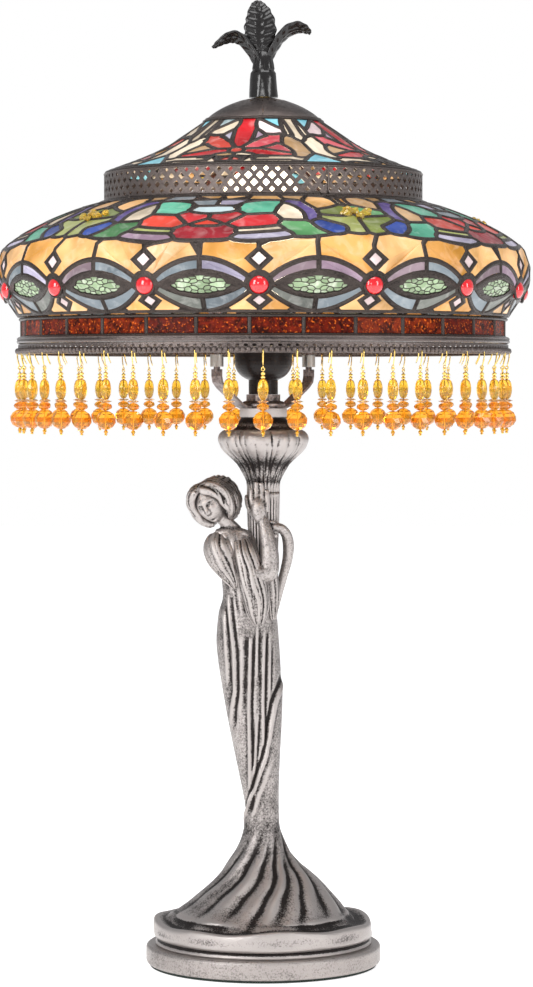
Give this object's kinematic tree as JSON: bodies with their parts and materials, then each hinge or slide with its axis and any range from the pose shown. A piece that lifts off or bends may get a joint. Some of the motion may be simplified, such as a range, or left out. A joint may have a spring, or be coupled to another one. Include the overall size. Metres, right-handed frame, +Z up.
{
  "type": "table lamp",
  "caption": "Table lamp with a domed leaded glass shade, an amber bead fringe and a draped standing figure as its cast column on a round flared base.",
  "frame": {"origin": "centre of the flat face of the felt that the lamp stands on", "axes": "+Z up along the lamp's pipe, -Y towards the viewer's side, where the figure's front is"},
  "size_m": [0.3651, 0.3655, 0.6605],
  "materials": {
    "felt_pad": "felt",
    "plinth": "antique pewter, rubbed highlights, semi-gloss",
    "cord_bush": "matt",
    "pipe_nut": "zinc plated",
    "lamp_pipe": "zinc plated, threaded",
    "figure_casting": "cast resin with an antique pewter metallic finish",
    "column_vase": "cast resin with an antique pewter metallic finish",
    "harp_saddle": "antique pewter plating",
    "seat_collar": "antique pewter plating",
    "socket_cap": "black phenolic",
    "socket_shell": "black phenolic",
    "socket_insulator": "unglazed",
    "socket_contacts": "bare",
    "bulb_base": "bare",
    "bulb_glass": "frosted",
    "switch_shaft": "bare",
    "switch_knob": "black phenolic",
    "harp_frame": "antique pewter plating",
    "ferrule_left": "antique pewter plating",
    "ferrule_right": "antique pewter plating",
    "harp_stud": "bare",
    "shade_cap": "dark pewter plating, rubbed highlights",
    "crown_ring": "dull",
    "crown_glass": "art glass: red flowers, peach and green grounds, light blue bells",
    "gallery_band": "dark pewter plating, rubbed highlights",
    "flower_glass": "art glass: red, mint, olive, blue and mauve petals",
    "field_glass": "art glass: amber, peach, cream and mauve strips, pale pink diamonds",
    "oval_glass": "hammered green glass",
    "oval_filigrees": "black stamped lace",
    "cabochons": "ruby red, polished",
    "stone_clusters": "amber nuggets with olive and blue leaves",
    "lead_came": "dark solder and foil",
    "skirt_glass": "hammered brown-red glass",
    "rim_band": "dark pewter plating, pearled edge",
    "finial": "gloss black with silver rubbed highlights",
    "finial_insert": "bare, threaded",
    "drop_beads": "faceted amber beads on gilt wire"
  },
  "bodies": {
    "base": {"felt_pad": "felt_pad", "plinth": "plinth", "cord_bush": "cord_bush", "pipe_nut": "pipe_nut", "lamp_pipe": "lamp_pipe", "figure_casting": "figure_casting", "column_vase": "column_vase", "harp_saddle": "harp_saddle", "seat_collar": "seat_collar", "socket_cap": "socket_cap", "socket_shell": "socket_shell", "socket_insulator": "socket_insulator", "socket_contacts": "socket_contacts"},
    "bulb": {"bulb_base": "bulb_base", "bulb_glass": "bulb_glass"},
    "switch": {"switch_shaft": "switch_shaft", "switch_knob": "switch_knob"},
    "harp": {"harp_frame": "harp_frame"},
    "ferrule_left": {"ferrule_left": "ferrule_left"},
    "ferrule_right": {"ferrule_right": "ferrule_right"},
    "stud": {"harp_stud": "harp_stud"},
    "shade": {"shade_cap": "shade_cap", "crown_ring": "crown_ring", "crown_glass": "crown_glass", "gallery_band": "gallery_band", "flower_glass": "flower_glass", "field_glass": "field_glass", "oval_glass": "oval_glass", "oval_filigrees": "oval_filigrees", "cabochons": "cabochons", "stone_clusters": "stone_clusters", "lead_came": "lead_came", "skirt_glass": "skirt_glass", "rim_band": "rim_band"},
    "finial": {"finial": "finial", "finial_insert": "finial_insert"},
    "drop_pair_01": {"drop_pair_01": "drop_beads"},
    "drop_pair_02": {"drop_pair_02": "drop_beads"},
    "drop_pair_03": {"drop_pair_03": "drop_beads"},
    "drop_pair_04": {"drop_pair_04": "drop_beads"},
    "drop_pair_05": {"drop_pair_05": "drop_beads"},
    "drop_pair_06": {"drop_pair_06": "drop_beads"},
    "drop_pair_07": {"drop_pair_07": "drop_beads"},
    "drop_pair_08": {"drop_pair_08": "drop_beads"},
    "drop_pair_09": {"drop_pair_09": "drop_beads"},
    "drop_pair_10": {"drop_pair_10": "drop_beads"},
    "drop_pair_11": {"drop_pair_11": "drop_beads"},
    "drop_pair_12": {"drop_pair_12": "drop_beads"},
    "drop_pair_13": {"drop_pair_13": "drop_beads"},
    "drop_pair_14": {"drop_pair_14": "drop_beads"},
    "drop_pair_15": {"drop_pair_15": "drop_beads"},
    "drop_pair_16": {"drop_pair_16": "drop_beads"},
    "drop_pair_17": {"drop_pair_17": "drop_beads"},
    "drop_pair_18": {"drop_pair_18": "drop_beads"},
    "drop_pair_19": {"drop_pair_19": "drop_beads"},
    "drop_pair_20": {"drop_pair_20": "drop_beads"},
    "drop_pair_21": {"drop_pair_21": "drop_beads"},
    "drop_pair_22": {"drop_pair_22": "drop_beads"},
    "drop_pair_23": {"drop_pair_23": "drop_beads"},
    "drop_pair_24": {"drop_pair_24": "drop_beads"}
  },
  "joints": [
    {"name": "bulb_turn", "type": "hinge", "parent": "base", "child": "bulb", "pos_m": [0, 0, 0.446], "axis": [0, 0, 1], "continuous": true},
    {"name": "ferrule_left_slide", "type": "slide", "parent": "harp", "child": "ferrule_left", "axis": [0, 0, 1], "range_m": [0, 0.012]},
    {"name": "ferrule_right_slide", "type": "slide", "parent": "harp", "child": "ferrule_right", "axis": [0, 0, 1], "range_m": [0, 0.012]},
    {"name": "finial_turn", "type": "hinge", "parent": "shade", "child": "finial", "pos_m": [0, 0, 0.6], "axis": [0, 0, 1], "continuous": true},
    {"name": "harp_lift", "type": "slide", "parent": "base", "child": "harp", "axis": [0, 0, 1], "range_m": [0, 0.04]},
    {"name": "shade_lift", "type": "slide", "parent": "stud", "child": "shade", "axis": [0, 0, 1], "range_m": [0, 0.24]},
    {"name": "shade_swivel", "type": "hinge", "parent": "harp", "child": "stud", "pos_m": [0, 0, 0.588], "axis": [0, 0, 1], "continuous": true},
    {"name": "switch_turn", "type": "hinge", "parent": "base", "child": "switch", "pos_m": [0.018, -0.02145, 0.428], "axis": [0.6428, -0.766, 0], "continuous": true},
    {"name": "tassel_swing_01", "type": "hinge", "parent": "shade", "child": "drop_pair_01", "pos_m": [0.01087, -0.16589, 0.4192], "axis": [0.9979, 0.0654, 0], "range_deg": [-25, 25]},
    {"name": "tassel_swing_02", "type": "hinge", "parent": "shade", "child": "drop_pair_02", "pos_m": [0.05344, -0.15742, 0.4192], "axis": [0.9469, 0.3214, 0], "range_deg": [-25, 25]},
    {"name": "tassel_swing_03", "type": "hinge", "parent": "shade", "child": "drop_pair_03", "pos_m": [0.09236, -0.13823, 0.4192], "axis": [0.8315, 0.5556, 0], "range_deg": [-25, 25]},
    {"name": "tassel_swing_04", "type": "hinge", "parent": "shade", "child": "drop_pair_04", "pos_m": [0.12499, -0.10961, 0.4192], "axis": [0.6593, 0.7518, 0], "range_deg": [-25, 25]},
    {"name": "tassel_swing_05", "type": "hinge", "parent": "shade", "child": "drop_pair_05", "pos_m": [0.1491, -0.07353, 0.4192], "axis": [0.4423, 0.8969, 0], "range_deg": [-25, 25]},
    {"name": "tassel_swing_06", "type": "hinge", "parent": "shade", "child": "drop_pair_06", "pos_m": [0.16305, -0.03243, 0.4192], "axis": [0.1951, 0.9808, 0], "range_deg": [-25, 25]},
    {"name": "tassel_swing_07", "type": "hinge", "parent": "shade", "child": "drop_pair_07", "pos_m": [0.16589, 0.01087, 0.4192], "axis": [-0.0654, 0.9979, 0], "range_deg": [-25, 25]},
    {"name": "tassel_swing_08", "type": "hinge", "parent": "shade", "child": "drop_pair_08", "pos_m": [0.15742, 0.05344, 0.4192], "axis": [-0.3214, 0.9469, 0], "range_deg": [-25, 25]},
    {"name": "tassel_swing_09", "type": "hinge", "parent": "shade", "child": "drop_pair_09", "pos_m": [0.13823, 0.09236, 0.4192], "axis": [-0.5556, 0.8315, 0], "range_deg": [-25, 25]},
    {"name": "tassel_swing_10", "type": "hinge", "parent": "shade", "child": "drop_pair_10", "pos_m": [0.10961, 0.12499, 0.4192], "axis": [-0.7518, 0.6593, 0], "range_deg": [-25, 25]},
    {"name": "tassel_swing_11", "type": "hinge", "parent": "shade", "child": "drop_pair_11", "pos_m": [0.07353, 0.1491, 0.4192], "axis": [-0.8969, 0.4423, 0], "range_deg": [-25, 25]},
    {"name": "tassel_swing_12", "type": "hinge", "parent": "shade", "child": "drop_pair_12", "pos_m": [0.03243, 0.16305, 0.4192], "axis": [-0.9808, 0.1951, 0], "range_deg": [-25, 25]},
    {"name": "tassel_swing_13", "type": "hinge", "parent": "shade", "child": "drop_pair_13", "pos_m": [-0.01087, 0.16589, 0.4192], "axis": [-0.9979, -0.0654, 0], "range_deg": [-25, 25]},
    {"name": "tassel_swing_14", "type": "hinge", "parent": "shade", "child": "drop_pair_14", "pos_m": [-0.05344, 0.15742, 0.4192], "axis": [-0.9469, -0.3214, 0], "range_deg": [-25, 25]},
    {"name": "tassel_swing_15", "type": "hinge", "parent": "shade", "child": "drop_pair_15", "pos_m": [-0.09236, 0.13823, 0.4192], "axis": [-0.8315, -0.5556, 0], "range_deg": [-25, 25]},
    {"name": "tassel_swing_16", "type": "hinge", "parent": "shade", "child": "drop_pair_16", "pos_m": [-0.12499, 0.10961, 0.4192], "axis": [-0.6593, -0.7518, 0], "range_deg": [-25, 25]},
    {"name": "tassel_swing_17", "type": "hinge", "parent": "shade", "child": "drop_pair_17", "pos_m": [-0.1491, 0.07353, 0.4192], "axis": [-0.4423, -0.8969, 0], "range_deg": [-25, 25]},
    {"name": "tassel_swing_18", "type": "hinge", "parent": "shade", "child": "drop_pair_18", "pos_m": [-0.16305, 0.03243, 0.4192], "axis": [-0.1951, -0.9808, 0], "range_deg": [-25, 25]},
    {"name": "tassel_swing_19", "type": "hinge", "parent": "shade", "child": "drop_pair_19", "pos_m": [-0.16589, -0.01087, 0.4192], "axis": [0.0654, -0.9979, 0], "range_deg": [-25, 25]},
    {"name": "tassel_swing_20", "type": "hinge", "parent": "shade", "child": "drop_pair_20", "pos_m": [-0.15742, -0.05344, 0.4192], "axis": [0.3214, -0.9469, 0], "range_deg": [-25, 25]},
    {"name": "tassel_swing_21", "type": "hinge", "parent": "shade", "child": "drop_pair_21", "pos_m": [-0.13823, -0.09236, 0.4192], "axis": [0.5556, -0.8315, 0], "range_deg": [-25, 25]},
    {"name": "tassel_swing_22", "type": "hinge", "parent": "shade", "child": "drop_pair_22", "pos_m": [-0.10961, -0.12499, 0.4192], "axis": [0.7518, -0.6593, 0], "range_deg": [-25, 25]},
    {"name": "tassel_swing_23", "type": "hinge", "parent": "shade", "child": "drop_pair_23", "pos_m": [-0.07353, -0.1491, 0.4192], "axis": [0.8969, -0.4423, 0], "range_deg": [-25, 25]},
    {"name": "tassel_swing_24", "type": "hinge", "parent": "shade", "child": "drop_pair_24", "pos_m": [-0.03243, -0.16305, 0.4192], "axis": [0.9808, -0.1951, 0], "range_deg": [-25, 25]}
  ]
}
